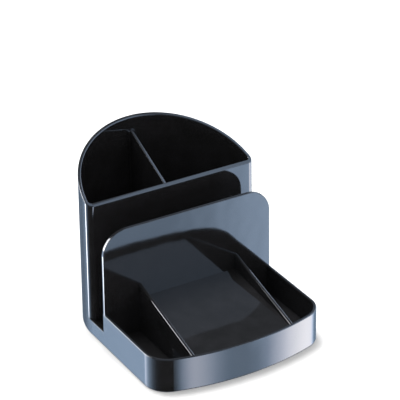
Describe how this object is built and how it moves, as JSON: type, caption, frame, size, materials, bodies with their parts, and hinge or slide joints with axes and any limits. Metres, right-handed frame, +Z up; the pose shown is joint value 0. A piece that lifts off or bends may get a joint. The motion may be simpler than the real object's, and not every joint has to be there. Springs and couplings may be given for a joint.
{
  "type": "desk organizer",
  "caption": "Black plastic desk organizer: low tray with a sloped note holder, an upright letter slot and a D-shaped pencil cup with a slanted rim and a lift-out divider.",
  "frame": {"origin": "centre of the bounding box of the footprint, on the surface that the rubber feet stand on", "axes": "+X to the user's right, +Y from the tray towards the pencil cup at the back, +Z up; the left and right halves mirror each other about X = 0"},
  "size_m": [0.1374, 0.1664, 0.1311],
  "materials": {
    "body_plastic": "glossy black moulded plastic, fine even grain",
    "foot_rubber": "matt black"
  },
  "bodies": {
    "organizer": {"tray_base": "body_plastic", "front_panel": "body_plastic", "pencil_cup": "body_plastic", "note_holder": "body_plastic", "foot_front_left": "foot_rubber", "foot_front_right": "foot_rubber", "foot_rear_left": "foot_rubber", "foot_rear_right": "foot_rubber"},
    "divider": {"cup_divider": "body_plastic"}
  },
  "joints": [
    {"name": "divider_lift", "type": "slide", "parent": "organizer", "child": "divider", "axis": [0, 0, 1], "range_m": [0, 0.13]}
  ]
}
